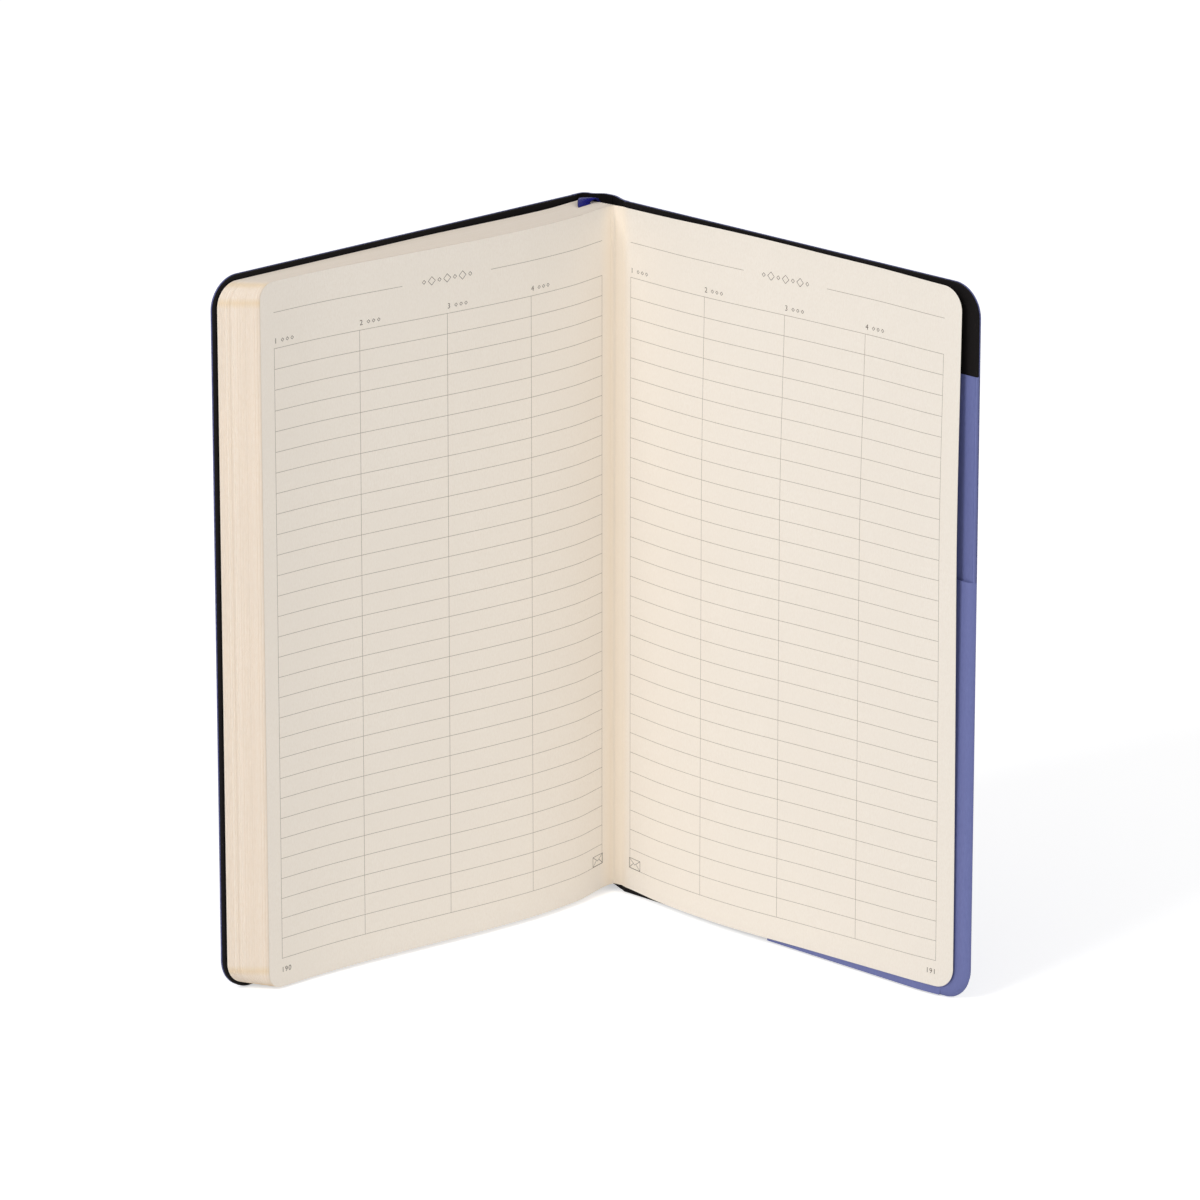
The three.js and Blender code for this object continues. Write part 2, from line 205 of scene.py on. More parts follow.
class Side:
    """A flat frame at a crease: u along the piece, w inward from its outer face, z up, in mm."""

    def __init__(self, origin, along, inward):
        self.origin, self.along, self.inward = origin, along, inward

    def point(self, u, w, z):
        plan = self.origin + self.along * u + self.inward * w
        return Vector((plan.x, plan.y, z)) * MM


spine_along = turned(Vector((1, 0)), SPINE_TURN)
spine_inward = Vector((spine_along.y, -spine_along.x))
front_crease = spine_along * (-SPINE_WIDTH / 2) - spine_inward * (SKIN / 2)
back_crease = front_crease + spine_along * SPINE_WIDTH
front_along = turned(spine_along, -FRONT_ANGLE)
back_along = turned(spine_along, BACK_ANGLE - math.pi)
spine = Side(front_crease, spine_along, spine_inward)
front = Side(front_crease, front_along, Vector((-front_along.y, front_along.x)))
back = Side(back_crease, back_along, Vector((back_along.y, -back_along.x)))
FRONT_TURN = math.pi - FRONT_ANGLE
BACK_TURN = math.pi - BACK_ANGLE


def mix(a, b, t):
    return a + (b - a) * t


def smooth(value, start, end):
    t = min(max((value - start) / (end - start), 0), 1)
    return t * t * (3 - 2 * t)


def air_between(u):
    """The air in one signature at a distance from the spine."""
    along = max(u, 0) / FIRST_LEAF_WIDTH
    rising = mix(AIR_AT_SPINE, AIR_AT_SWELL, smooth(along, 0, SWELL_FULL))
    return mix(rising, AIR_AT_FORE_EDGE, smooth(along, SWELL_FALLS, SWELL_ENDS))


def lift(u):
    """How far the whole block stands off the front cover."""
    along = u / FIRST_LEAF_WIDTH
    return LIFT * smooth(along, 0, LIFT_TOP) * (1 - smooth(along, LIFT_TOP, LIFT_ENDS))


def leaf_depth(share, u):
    """A leaf's height over the front cover's outer face. Share runs from the first leaf to the last."""
    thickness = SIGNATURES * (LEAVES_PER_SIGNATURE * LEAF + air_between(u))
    return BLOCK_DEPTH + lift(u) + share * thickness


def fold_start(share):
    """Where the folds lie, so that the back of the block is parallel to the spine."""
    depth = leaf_depth(share, 0)
    return (BLOCK_SETBACK - depth * math.cos(FRONT_TURN)) / math.sin(FRONT_TURN)


def fore_edge(share):
    return fold_start(0) + FIRST_LEAF_WIDTH - share * SIGNATURES * FORE_EDGE_STEP


def corner_inset(distance, radius):
    """How far a rounded corner cuts in at a distance from the piece's end."""
    across = max(radius - distance, 0)
    return radius - math.sqrt(max(radius * radius - across * across, 0))


def eased(t, share, length, radius):
    """Even stations over a length, with the last share of them round a corner of the given radius."""
    straight = 1 - radius / length
    if t < 1 - share:
        return t * straight / (1 - share)
    return straight + (1 - straight) * math.sin((t - 1 + share) / share * math.pi / 2)


# Modelling helpers

def only(piece):
    bpy.ops.object.select_all(action="DESELECT")
    piece.select_set(True)
    bpy.context.view_layer.objects.active = piece


def finish_mesh(piece, angle):
    only(piece)
    bpy.ops.object.shade_smooth_by_angle(angle=math.radians(angle))


def sheet(name, columns, rows, place, thickness, uv=None, fullness=None):
    """A grid whose points are laid by place(s, t), with s and t from 0 to 1, then given a thickness.
    fullness(s, t) is the share of the thickness at a point."""
    bpy.ops.object.select_all(action="DESELECT")
    bpy.ops.mesh.primitive_grid_add(x_subdivisions=columns, y_subdivisions=rows, size=2)
    piece = bpy.context.object
    piece.name = name
    shares = [((v.co.x + 1) / 2, (v.co.y + 1) / 2) for v in piece.data.vertices]
    for vertex, (s, t) in zip(piece.data.vertices, shares):
        vertex.co = place(s, t)
    if uv:
        layer = piece.data.uv_layers.active.data
        for loop in piece.data.loops:
            layer[loop.index].uv = uv(*shares[loop.vertex_index])
    if thickness:
        wall = piece.modifiers.new("Wall", "SOLIDIFY")
        wall.thickness = thickness * MM
        wall.offset = 0
        if fullness:
            group = piece.vertex_groups.new(name="fullness")
            for i, (s, t) in enumerate(shares):
                group.add([i], fullness(s, t), "REPLACE")
            wall.vertex_group = group.name
        bpy.ops.object.modifier_apply(modifier="Wall")
    return piece


def joined(name, parts):
    bpy.ops.object.select_all(action="DESELECT")
    for part in parts:
        part.select_set(True)
    bpy.context.view_layer.objects.active = parts[0]
    bpy.ops.object.join()
    parts[0].name = name
    return parts[0]


def slab(name, side, low, high, foot, head, depth, corner, rim):
    """A flat plate with two rounded fore-edge corners and a softened rim."""
    bpy.ops.object.select_all(action="DESELECT")
    thickness = depth[1] - depth[0]
    centre = ((low + high) / 2, (depth[0] + depth[1]) / 2, (foot + head) / 2)
    bpy.ops.mesh.primitive_cube_add(size=1, location=centre)
    piece = bpy.context.object
    piece.name = name
    piece.scale = (high - low, thickness, head - foot)
    bpy.ops.object.transform_apply(location=True, rotation=False, scale=True)
    bpy.ops.object.mode_set(mode="EDIT")
    bpy.ops.mesh.select_mode(type="EDGE")

    def bevel(offset, segments, test):
        mesh = bmesh.from_edit_mesh(piece.data)
        bpy.ops.mesh.select_all(action="DESELECT")
        for edge in mesh.edges:
            edge.select_set(test(edge))
        mesh.select_flush_mode()
        bmesh.update_edit_mesh(piece.data)
        bpy.ops.mesh.bevel(offset=offset, segments=segments, affect="EDGES")

    def runs_through(edge):
        return abs(edge.verts[0].co.y - edge.verts[1].co.y) > thickness / 2

    bevel(corner, 24, lambda edge: runs_through(edge) and min(v.co.x for v in edge.verts) > high - 0.01)
    bevel(rim, 3, lambda edge: not runs_through(edge) and max(v.co.x for v in edge.verts) > low + 0.01
          and abs(edge.link_faces[0].normal.dot(edge.link_faces[1].normal)) < 0.5)
    bpy.ops.object.mode_set(mode="OBJECT")
    for vertex in piece.data.vertices:
        vertex.co = side.point(*vertex.co)
    bpy.ops.object.mode_set(mode="EDIT")
    bpy.ops.mesh.select_all(action="SELECT")
    bpy.ops.mesh.normals_make_consistent(inside=False)
    bpy.ops.object.mode_set(mode="OBJECT")
    return piece


# Materials

class Value:
    """A socket that can be used in sums. Each operation adds its Math node."""

    def __init__(self, finish, socket):
        self.finish, self.socket = finish, socket

    def math(self, operation, *others):
        values = {i + 1: other for i, other in enumerate(others)}
        return self.finish.node("ShaderNodeMath", {"operation": operation}, {0: self, **values})

    def __add__(self, other): return self.math("ADD", other)
    def __sub__(self, other): return self.math("SUBTRACT", other)
    def __mul__(self, other): return self.math("MULTIPLY", other)
    def __truediv__(self, other): return self.math("DIVIDE", other)
    def __gt__(self, other): return self.math("GREATER_THAN", other)
    def __lt__(self, other): return self.math("LESS_THAN", other)


class Finish:
    """One material: its nodes are added by node(), and the shader's sockets set by name."""

    def __init__(self, name, **sockets):
        self.material = bpy.data.materials.new(name)
        self.material.use_nodes = True
        self.tree = self.material.node_tree
        self.shader = self.tree.nodes["Principled BSDF"]
        self.set(**sockets)

    def node(self, kind, settings=None, values=None, output=0):
        node = self.tree.nodes.new(kind)
        for key, setting in (settings or {}).items():
            setattr(node, key, setting)
        for key, value in (values or {}).items():
            self.feed(node.inputs[key], value)
        return Value(self, node.outputs[output])

    def feed(self, socket, value):
        if isinstance(value, Value):
            self.tree.links.new(value.socket, socket)
        elif socket.type == "RGBA":
            socket.default_value = (*value, 1)
        else:
            socket.default_value = value

    def set(self, **sockets):
        for name, value in sockets.items():
            title = "Specular IOR Level" if name == "specular" else name.replace("_", " ").title()
            self.feed(self.shader.inputs[title], value)

    def coordinates(self, kind="Object"):
        return self.node("ShaderNodeTexCoord", output={"Object": 3, "UV": 2}[kind])

    def split(self, vector):
        separate = self.tree.nodes.new("ShaderNodeSeparateXYZ")
        self.feed(separate.inputs[0], vector)
        return [Value(self, output) for output in separate.outputs]

    def stretched(self, vector, scale):
        return self.node("ShaderNodeMapping", {}, {"Vector": vector, "Scale": scale})

    def noise(self, vector, scale, detail):
        return self.node("ShaderNodeTexNoise", {}, {"Vector": vector, "Scale": scale, "Detail": detail})

    def soft_cells(self, vector, scale):
        return self.node("ShaderNodeTexVoronoi", {"feature": "SMOOTH_F1"},
                         {"Vector": vector, "Scale": scale})

    def between(self, factor, first, second):
        node = self.tree.nodes.new("ShaderNodeMix")
        node.data_type = "RGBA"
        self.feed(node.inputs[0], factor)
        self.feed(node.inputs[6], first)
        self.feed(node.inputs[7], second)
        return Value(self, node.outputs[2])

    def spread(self, value, low, high, to_low=0.0, to_high=1.0):
        return self.node("ShaderNodeMapRange", {"clamp": True},
                         {0: value, 1: low, 2: high, 3: to_low, 4: to_high})

    def bump(self, height, distance, strength):
        return self.node("ShaderNodeBump", {},
                         {"Height": height, "Distance": distance, "Strength": strength})


def srgb(red, green, blue):
    """Linear colour of an sRGB colour given from 0 to 255."""
    def linear(value):
        value /= 255
        return value / 12.92 if value <= 0.04045 else ((value + 0.055) / 1.055) ** 2.4
    return tuple(linear(value) for value in (red, green, blue))


def leather_finish():
    """Fine pebbled skin: small cells with soft creases between them, duller in the valleys."""
    finish = Finish("cover_skin", specular=0.45)
    place = finish.coordinates()
    wander = finish.noise(place, 700, 2) * 0.00035
    moved = finish.node("ShaderNodeVectorMath", {"operation": "ADD"}, {0: place, 1: wander})
    grain = finish.soft_cells(moved, 1900)
    pores = finish.noise(place, 5200, 3)
    cloud = finish.noise(place, 45, 3)
    height = grain * -1.0 + pores * 0.25
    colour = finish.between(finish.spread(grain, 0.15, 0.75), srgb(98, 103, 154), srgb(58, 62, 110))
    colour = finish.between(finish.spread(cloud, 0.35, 0.7, 0, 0.35), colour, srgb(72, 77, 126))
    finish.set(base_color=colour, roughness=finish.spread(grain, 0.1, 0.8, 0.42, 0.62),
               normal=finish.bump(height, 0.00006, 0.6))
    return finish.material


def stock(finish, stretch, fibres, fibre_range, clouds, cloud_range, tones):
    """Paper: short fibres up the sheet between two tones, and a soft clouding with the third. Gives its
    colour and its height."""
    place = finish.coordinates()
    fibre = finish.noise(finish.stretched(place, (1, 1, stretch)), fibres, 4)
    cloud = finish.noise(place, clouds, 3)
    colour = finish.between(finish.spread(fibre, *fibre_range), *tones[:2])
    return finish.between(finish.spread(cloud, *cloud_range), colour, tones[2]), fibre


def black_paper_finish(name, dark, pale, roughness):
    """Black endpaper or card, slightly mottled, with short fibres."""
    finish = Finish(name, specular=0.12)
    tones = (dark, pale, mix(Vector(dark), Vector(pale), 0.5))
    colour, fibre = stock(finish, 0.35, 2600, (0.3, 0.75), 60, (0.35, 0.7, 0, 0.4), tones)
    finish.set(base_color=colour,
               roughness=finish.spread(fibre, 0.3, 0.7, roughness - 0.08, roughness + 0.08),
               normal=finish.bump(fibre, 0.00002, 0.5))
    return finish.material


def ivory_stock(finish):
    """The leaves' uncoated paper."""
    tones = (srgb(240, 231, 219), srgb(248, 241, 231), srgb(242, 234, 223))
    return stock(finish, 0.4, 3200, (0.25, 0.75), 35, (0.3, 0.7, 0, 0.5), tones)


def edge_finish():
    """Leaf edges: each leaf a little lighter or darker than the next, yellowed round the corners."""
    finish = Finish("leaf_edges", roughness=0.85, specular=0.2)
    tones = (srgb(249, 236, 220), srgb(255, 245, 233), srgb(248, 238, 226))
    colour, fibre = stock(finish, 0.25, 3200, (0.25, 0.75), 30, (0.35, 0.7, 0, 0.4), tones)
    tone = finish.node("ShaderNodeAttribute", {"attribute_name": "leaf_tone"}, output=2)
    colour = finish.between(tone, colour, srgb(234, 214, 192))
    _, _, height = finish.split(finish.coordinates())
    from_middle = (height * 1000 - (LEAF_FOOT + LEAF_HEAD) / 2).math("ABSOLUTE")

    def band(starts, full, falls, ends):
        return finish.spread(from_middle, starts, full) * finish.spread(from_middle, ends, falls)

    yellowed = (band(*CORNER_TONE) + band(*END_TONE)) * 0.36
    colour = finish.between(yellowed, colour, srgb(240, 215, 168))
    finish.set(base_color=colour, normal=finish.bump(fibre, 0.00002, 0.4))
    return finish.material


def page_finish():
    """Printed page. The UV map holds, in millimetres / 100, the distance from the table's outer side
    and the height over the book's foot."""
    finish = Finish("printed_page", roughness=0.8, specular=0.22)
    colour, fibre = ivory_stock(finish)
    # Painted highlight: the paper turns paler and warmer towards the fold. It stands in for the light
    # that the bent paper catches there.
    fold_highlight = finish.node("ShaderNodeAttribute", {"attribute_name": "fold_highlight"}, output=2)
    colour = finish.between(fold_highlight * 0.65, colour, srgb(255, 240, 219))
    across, up, _ = finish.split(finish.coordinates("UV"))
    across, up = across * 100, up * 100

    def near_multiple(distance, pitch):
        rest = (distance / pitch + 0.5).math("FRACT") - 0.5
        return (rest.math("ABSOLUTE") * pitch) < (RULE_WIDTH / 2)

    def within(distance, low, high):
        return (distance > (low - RULE_WIDTH / 2)) * (distance < (high + RULE_WIDTH / 2))

    in_width = within(across, 0, TABLE_WIDTH)
    in_table = in_width * within(up, TABLE_FOOT, TABLE_HEAD)
    rows, columns = near_multiple(up - TABLE_FOOT, ROW_PITCH), near_multiple(across, COLUMN_WIDTH)
    rules = rows.math("MAXIMUM", columns)
    title = within(up, TABLE_HEAD + TITLE_RULE, TABLE_HEAD + TITLE_RULE) * in_width
    clear = (across - TABLE_WIDTH / 2).math("ABSOLUTE") > TITLE_GAP / 2
    ink = (rules * in_table).math("MAXIMUM", title * clear)
    colour = finish.between(ink * 0.72, colour, srgb(126, 113, 101))
    finish.set(base_color=colour, normal=finish.bump(fibre, 0.00002, 0.35))
    return finish.material


def highlit_fold_finish():
    """Cream stock of the fold between the pages, painted paler and warmer: a highlight for the light
    that the bent fold catches.
    """
    finish = Finish("highlit_fold_paper", roughness=0.8, specular=0.2)
    colour, fibre = ivory_stock(finish)
    # Painted highlight: the leaves' stock mixed 0.6 of the way to a pale warm cream.
    finish.set(base_color=finish.between(0.6, colour, srgb(255, 240, 219)),
               normal=finish.bump(fibre, 0.00002, 0.35))
    return finish.material


def ink_finish():
    """Soft grey-brown printing ink, thin in places."""
    finish = Finish("page_ink", roughness=0.8)
    fade = finish.noise(finish.coordinates(), 2500, 2)
    thin = finish.spread(fade, 0.3, 0.7)
    finish.set(base_color=finish.between(thin, srgb(86, 76, 68), srgb(114, 103, 94)))
    return finish.material


def pocket_finish():
    """Blue paper with faint fibres."""
    finish = Finish("pocket_paper")
    tones = (srgb(98, 105, 159), srgb(113, 120, 173), srgb(104, 111, 165))
    colour, fibre = stock(finish, 0.3, 2400, (0.25, 0.75), 40, (0.3, 0.7, 0, 0.5), tones)
    finish.set(base_color=colour, roughness=finish.spread(fibre, 0.3, 0.7, 0.62, 0.78),
               normal=finish.bump(fibre, 0.00002, 0.5))
    return finish.material


def ribbon_finish():
    """Satin weave: fine ribs across the ribbon, darker along its two woven edges."""
    finish = Finish("ribbon", roughness=0.34, specular=0.14)
    across, along, _ = finish.split(finish.coordinates("UV"))
    rib = (along * 2 * math.pi * 420).math("SINE")
    thread = (across * 2 * math.pi * 22).math("SINE")
    edge = finish.spread((across - 0.5).math("ABSOLUTE"), 0.42, 0.47)
    colour = finish.between(finish.spread(thread, -1, 1), srgb(4, 5, 96), srgb(10, 14, 132))
    colour = finish.between(edge * 0.6, colour, srgb(3, 4, 66))
    finish.set(base_color=colour, normal=finish.bump(rib * 0.6 + thread * 0.4, 0.00002, 0.6))
    return finish.material


def mull_finish():
    """Open cotton gauze: a square weave of threads."""
    finish = Finish("mull", roughness=0.9)
    x, y, z = finish.split(finish.coordinates())
    warp = ((x + y) * 2 * math.pi * 900).math("SINE")
    weft = (z * 2 * math.pi * 900).math("SINE")
    weave = warp.math("MAXIMUM", weft)
    colour = finish.between(finish.spread(weave, -0.4, 0.9), srgb(150, 140, 122), srgb(222, 214, 198))
    finish.set(base_color=colour, normal=finish.bump(weave, 0.0001, 0.8))
    return finish.material


FINISHES = {
    "cover_skin": leather_finish(),
    "black_lining": black_paper_finish("black_lining", srgb(10, 8, 8), srgb(23, 19, 19), 0.75),
    "board": black_paper_finish("board", srgb(13, 11, 11), srgb(26, 22, 22), 0.85),
    "leaf_edges": edge_finish(),
    "printed_page": page_finish(),
    "highlit_fold_paper": highlit_fold_finish(),
    "page_ink": ink_finish(),
    "pocket_paper": pocket_finish(),
    "ribbon": ribbon_finish(),
    "mull": mull_finish(),
}


def dress(piece, finish, slot):
    piece.data.materials.clear()
    piece.data.materials.append(FINISHES[finish])


def carry(piece, finish, slot, body, node=None, angle=50):
    """Smooths a piece and gives it its material, the body that it rides and the solid that it takes the
    place of."""
    if angle:
        finish_mesh(piece, angle)
    dress(piece, finish, slot)
    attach(piece, body)
    if node:
        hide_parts(node)


# Case

def cover(name, side, start):
    """Skin, card and lining of one cover, each with its own trimmed rim."""
    layers = [
        ("leather", "skin", "cover_skin", (0, SKIN), 0, 0.2),
        ("card", "board", "board", (CARD_LOW, CARD_HIGH), 0.06, 0.05),
        ("endpaper", "pastedown", "black_lining", (LINING_LOW, LINING_HIGH), LINING_TRIM, LINING_TRIM),
    ]
    for title, node, finish, depth, inset, rim in layers:
        piece = slab(f"{name}_{title}", side, start, COVER_WIDTH - inset, inset, COVER_HEIGHT - inset,
                     depth, COVER_CORNER - inset, rim)
        carry(piece, finish, finish, name, f"{name}_{node}", 35)


def crease_path(turn, radius, start, reach, depth, s):
    """A point of the bent strip: along the cover, round the crease, then along the spine."""
    tangent = radius * math.tan(turn / 2)
    bend = (radius - depth) * turn
    lengths = [start - tangent, bend, reach - tangent]
    run = s * sum(lengths)
    if run <= lengths[0]:
        return start - run, depth
    run -= lengths[0]
    if run <= bend:
        a = run / (radius - depth)
        return tangent - (radius - depth) * math.sin(a), radius - (radius - depth) * math.cos(a)
    along = tangent + run - bend
    return (-math.cos(turn) * along + math.sin(turn) * depth,
            math.sin(turn) * along + math.cos(turn) * depth)


def spine_bow(a):
    """How far the skin stands out, at a distance from the front crease over the spine and beyond."""
    rising = smooth(a, SPINE_BOW_START, SPINE_BOW_TOP)
    return SPINE_BOW * rising * (1 - smooth(a, SPINE_BOW_FALLS, SPINE_BOW_END))


def crease(name, side, turn, radius, start, bow=lambda a: 0):
    """Skin and lining over one crease. The lining climbs onto the card's edge."""
    reach = radius * math.tan(turn / 2) + CREASE_LAP
    middle = COVER_HEIGHT / 2
    low = side.point(start - 0.2, 0.5, middle)
    high = side.point(*crease_path(turn, radius, start, reach, 0.5, 0.96), middle)

    def out(s):
        return bow(SPINE_WIDTH + start - s * (start + reach))

    def skin_place(s, t):
        u, w = crease_path(turn, radius, start, reach, SKIN / 2 - out(s), s)
        return side.point(u, w, t * COVER_HEIGHT)

    def lining_place(s, t):
        u, w = crease_path(turn, radius, start, reach, CREASE_LINING - out(s), s)
        step = (LINING_LOW + LINING_HIGH) / 2 - CREASE_LINING
        climb = smooth(u, start - LINING_CLIMB, start) * step
        return side.point(u, w + climb, mix(LINING_TRIM, COVER_HEIGHT - LINING_TRIM, t))

    layers = [("leather", "skin", "cover_skin", skin_place, SKIN),
              ("paper", "lining", "black_lining", lining_place, LINING)]
    for title, node, finish, place, thickness in layers:
        piece = sheet(f"{name}_crease_{title}", 28, 24, place, thickness)
        finish_mesh(piece, 50)
        dress(piece, finish, finish)
        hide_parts(f"{name}_crease_{node}")
        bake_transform(piece)


def spine_pieces():
    """The spine's skin and, under it, a strip of card."""
    low = FRONT_CREASE_RADIUS * math.tan(FRONT_TURN / 2) + CREASE_LAP
    high = SPINE_WIDTH - BACK_CREASE_RADIUS * math.tan(BACK_TURN / 2) - CREASE_LAP
    layers = [("leather", "skin", "cover_skin", SKIN / 2, SKIN),
              ("strip", "strip", "black_lining", STRIP_DEPTH, STRIP)]
    for title, node, finish, depth, thickness in layers:
        def place(s, t):
            a = mix(low, high, s)
            return spine.point(a, depth - spine_bow(a), t * COVER_HEIGHT)

        piece = sheet(f"spine_{title}", 16, 24, place, thickness)
        carry(piece, finish, finish, "block", f"spine_{node}")


# Text block

random.seed(12)


def leaf_foot(share, u):
    """The leaves' feet rise a little towards their folds, and the open leaf sags at its fore-edge."""
    rise = OPEN_FOOT_RISE * (1 - smooth(u, 0, OPEN_FOOT_RISE_ENDS))
    sag = OPEN_FOOT_SAG * smooth(u, OPEN_FOOT_SAGS, OPEN_FOOT_LOWEST)
    return LEAF_FOOT + FIRST_FOOT_RISE * (1 - share) + share * (rise - sag)


def leaf_corner(share):
    """The trimmed corners are rounder at the cover than at the open leaf."""
    return mix(FIRST_LEAF_CORNER, OPEN_LEAF_CORNER, share)


def folded_sheet(name, outer_share, inner_share, start, slack):
    """One sheet folded once: a leaf, the round of its fold, and the leaf on the other side."""
    fold_share = 0.06
    low, high = leaf_depth(outer_share, start), leaf_depth(inner_share, start)
    radius = (high - low) / 2

    def in_fold(s):
        return abs(s - 0.5) < fold_share / 2

    def leaf(s):
        share = outer_share if s < 0.5 else inner_share
        return share, fore_edge(share) + slack

    def station(s):
        if in_fold(s):
            return start
        share, end = leaf(s)
        run = (abs(s - 0.5) - fold_share / 2) / (0.5 - fold_share / 2)
        return mix(start + radius, end, eased(run, 0.25, FIRST_LEAF_WIDTH, leaf_corner(share)))

    def place(s, t):
        if in_fold(s):
            a = (s - 0.5) / fold_share * math.pi
            depth = (low + high) / 2 + radius * math.sin(a)
            z = mix(leaf_foot((outer_share + inner_share) / 2, 0), LEAF_HEAD, t)
            return front.point(start + radius - radius * math.cos(a), depth, z)
        share, end = leaf(s)
        u = station(s)
        inset = corner_inset(end - u, leaf_corner(share))
        z = mix(leaf_foot(share, u) + inset, LEAF_HEAD - inset, t)
        return front.point(u, leaf_depth(share, u), z)

    def fullness(s, t):
        return 0.92 * (LEAF + air_between(station(s)) / LEAVES_PER_SIGNATURE) / FULLEST_LEAF

    return sheet(name, 90, 1, place, FULLEST_LEAF, fullness=fullness)


def signature(number):
    """Nested folded sheets, opened out evenly between this signature and the next."""
    first = number * LEAVES_PER_SIGNATURE
    sheets = SHEETS_PER_SIGNATURE - 1 if number == SIGNATURES - 1 else SHEETS_PER_SIGNATURE
    leaves = SIGNATURES * LEAVES_PER_SIGNATURE
    parts = []
    for i in range(sheets):
        outer = (first + i + 0.5) / leaves
        inner = (first + 2 * sheets - i - 0.5) / leaves
        start = fold_start((first + sheets) / leaves) + i * LEAF * 1.6
        part = folded_sheet(f"sheet_{number}_{i}", outer, inner, start, random.uniform(-0.08, 0.08))
        attribute = part.data.attributes.new("leaf_tone", "FLOAT", "POINT")
        attribute.data.foreach_set("value", [random.uniform(0.0, 0.3)] * len(part.data.vertices))
        parts.append(part)
    piece = joined(f"folded_sheets_{number + 1:02d}", parts)
    carry(piece, "leaf_edges", "page_paper", "block", f"signature_{number + 1:02d}", 40)


def flyleaf():
    """The black leaf between the front cover and the first sheet."""
    start, end = fold_start(0) - 0.3, fore_edge(0)

    def place(s, t):
        u = mix(start, end, eased(s, 0.25, end - start, FIRST_LEAF_CORNER))
        inset = corner_inset(end - u, FIRST_LEAF_CORNER)
        z = mix(leaf_foot(0, u) + inset, LEAF_HEAD - inset, t)
        return front.point(u, FLYLEAF_DEPTH + lift(u), z)

    piece = sheet("black_flyleaf", 60, 6, place, LINING)
    carry(piece, "black_lining", "black_lining", "block", "front_flyleaf")


# Open pages

class Page:
    """An open leaf. On its print, across is a distance along the paper from the table's outer side,
    and up is a height above the book's foot."""

    columns = 160
    rows = 60

    def __init__(self, side, start, end, foot, head, corner, depth, rise, margin, print_drops):
        self.side, self.start, self.end = side, start, end
        self.foot, self.head, self.corner, self.depth, self.rise = foot, head, corner, depth, rise
        self.margin, self.print_drops = margin, print_drops
        self.stations = [self.along(i / self.columns) for i in range(self.columns + 1)]
        points = [(u, depth(u, COVER_HEIGHT / 2)) for u in self.stations]
        runs = [0.0]
        for a, b in zip(points, points[1:]):
            runs.append(runs[-1] + math.dist(a, b))
        self.runs = [runs[-1] - run for run in runs]

    def along(self, s):
        return mix(self.start, self.end, eased(s, 0.16, self.end - self.start, self.corner))

    def laid(self, u, z, raised=0.0):
        return self.side.point(u, self.depth(u, z) + raised, z + self.rise(u) * (1 - z / COVER_HEIGHT))

    def height(self, u, t):
        inset = corner_inset(self.end - u, self.corner)
        return mix(self.foot + inset, self.head(u) - inset, t)

    def place(self, s, t):
        u = self.along(s)
        return self.laid(u, self.height(u, t))

    def drop(self, run):
        """The print is a little askew on the sheet: it lies lower towards the fold."""
        return mix(*self.print_drops, run / self.runs[0])

    def uv(self, s, t):
        run = self.runs[round(s * self.columns)]
        return (run - self.margin) / 100, (self.height(self.along(s), t) + self.drop(run)) / 100

    def printed(self, across, up):
        """A point just proud of the paper."""
        run = across + self.margin
        i = bisect.bisect_left([-run for run in self.runs], -run)
        i = min(max(i, 1), self.columns)
        share = (self.runs[i - 1] - run) / (self.runs[i - 1] - self.runs[i])
        u = mix(self.stations[i - 1], self.stations[i], share)
        return self.laid(u, up - self.drop(run), LEAF / 2 + 0.012)

    def piece(self, name, body, node):
        piece = sheet(name, self.columns, self.rows, self.place, LEAF, self.uv)
        # Share of the painted highlight by the fold: full at the fold, gone 6 mm out.
        fold_highlight_mask = piece.data.attributes.new("fold_highlight", "FLOAT", "POINT")
        for vertex, value in zip(piece.data.vertices, fold_highlight_mask.data):
            plan = Vector(vertex.co[:2]) / MM - self.side.origin
            from_fold = plan.dot(self.side.along) - min(self.start, LAST_LEAF_FOLD)
            value.value = 1 - smooth(from_fold, 0.4, 6)
        finish_mesh(piece, 60)
        dress(piece, "printed_page", "page_paper")
        if body == "right_leaf":
            low, high = (self.side.point(u, self.depth(u, COVER_HEIGHT / 2), COVER_HEIGHT / 2)
                         for u in (self.start, LAST_LEAF_FREE))
            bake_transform(piece)
            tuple(low)
            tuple(high)
        else:
            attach(piece, body)
        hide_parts(node)


def left_depth(u, z):
    """Swollen by the leaves beneath, with a faint cockle."""
    ripple = 0.08 * math.sin(u / 17 + z / 60) * smooth(u, 8, 30) * (1 - smooth(u, 70, 110))
    return leaf_depth(1, max(u, 0)) - LEAF / 2 + ripple


def right_depth(u, z):
    """Bowed near the fold, pushed up by the pocket, bent back above its mouth, settled at its fore-edge
    and curling there towards its head."""
    over_pocket = smooth(u, LAST_LEAF_FOLD, POCKET_SIDE)
    below_mouth = 1 - smooth(z, POCKET_MOUTH, LEAF_HEAD + 12)
    bow = LAST_LEAF_BOW * smooth(u, LAST_LEAF_FOLD, BOW_TOP) * (1 - smooth(u, BOW_FALLS, BOW_ENDS))
    pressed = LAST_LEAF_PRESSED * (1 - smooth(u, LAST_LEAF_START, LAST_LEAF_START + PRESSED_LENGTH))
    curling = smooth(u, LAST_LEAF_END - CURL_LENGTH, LAST_LEAF_END)
    curl = LAST_LEAF_CURL * curling * smooth(z, 0, LEAF_HEAD)
    settled = LAST_LEAF_SETTLED * smooth(u, SETTLES_FROM, LAST_LEAF_END) * below_mouth
    lying = mix(LAST_LEAF_LOW, LAST_LEAF_HIGH, over_pocket * below_mouth)
    return lying + bow + curl - settled - pressed + LEAF / 2


def right_rise(u):
    """The foot of the right page dips beside the fold and climbs towards its fore-edge."""
    dip = -LAST_LEAF_DIP * smooth(u, LAST_LEAF_FOLD, DIP_LOWEST)
    return dip + LAST_LEAF_RISE * smooth(u, RISE_STARTS, LAST_LEAF_END + 20)


